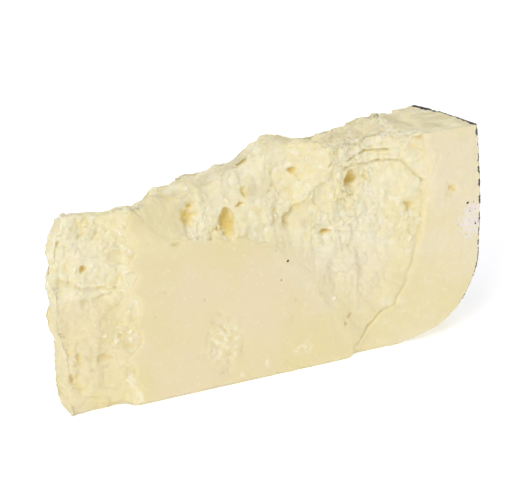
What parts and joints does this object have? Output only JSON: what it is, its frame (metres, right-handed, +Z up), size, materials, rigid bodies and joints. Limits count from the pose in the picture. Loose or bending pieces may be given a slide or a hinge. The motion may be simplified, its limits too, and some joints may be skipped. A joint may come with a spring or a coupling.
{
  "type": "cheese wedge",
  "caption": "Hard, crumbly cheese wedge with knife-cut lower sides, broken top, tip and upper sides, and a dark coated rind on its thick end.",
  "frame": {"origin": "on the flat base, halfway from the wheel's axis to the rind and halfway across the rind's thickness", "axes": "+X along the front cut from the thin tip to the rind, +Y from the front cut to the back cut, +Z up"},
  "size_m": [0.1523, 0.0372, 0.0775],
  "materials": {
    "paste": "matte"
  },
  "bodies": {
    "root": {"wedge": "paste"}
  },
  "joints": []
}
